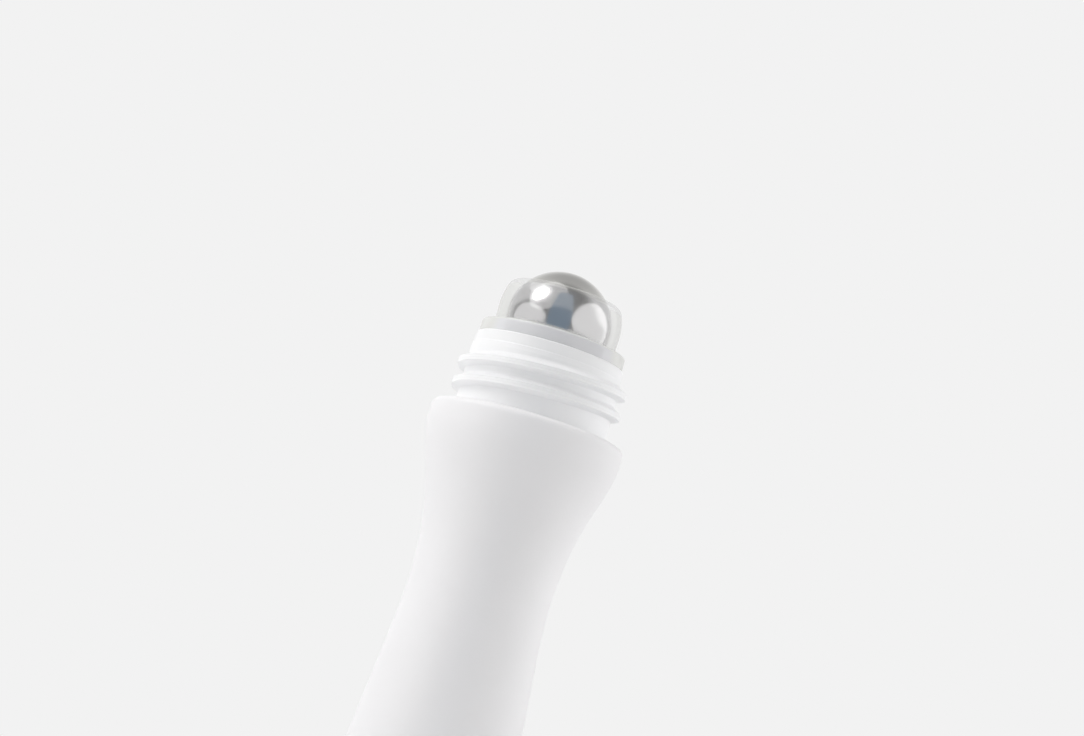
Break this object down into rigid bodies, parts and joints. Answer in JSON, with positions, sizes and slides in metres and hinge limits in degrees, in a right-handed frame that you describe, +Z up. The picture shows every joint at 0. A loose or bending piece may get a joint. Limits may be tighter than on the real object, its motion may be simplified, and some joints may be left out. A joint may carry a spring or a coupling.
{
  "type": "roll-on skincare stick",
  "caption": "Slim waisted white bottle with a screw neck, whose see-through plastic housing holds a steel roller ball that rolls a liquid onto the skin.",
  "frame": {"origin": "middle of the base, on the plane that the bottle stands on", "axes": "+Z up the bottle's axis, towards the ball; the thread's two ends are at the back, on the +Y side"},
  "size_m": [0.0294, 0.0294, 0.1075],
  "materials": {
    "white_plastic": "blow-moulded white polyethylene, fine matte body and smoother, glossier neck",
    "natural_plastic": "injection-moulded natural polypropylene, see-through with a slight milky haze",
    "polished_steel": "polished stainless steel bearing ball"
  },
  "bodies": {
    "applicator": {"bottle": "white_plastic", "ball_housing": "natural_plastic"},
    "ball": {"roller_ball": "polished_steel"}
  },
  "joints": [
    {"name": "ball_roll", "type": "hinge", "parent": "applicator", "child": "ball", "pos_m": [0, 0, 0.0996], "axis": [1, 0, 0], "continuous": true}
  ]
}
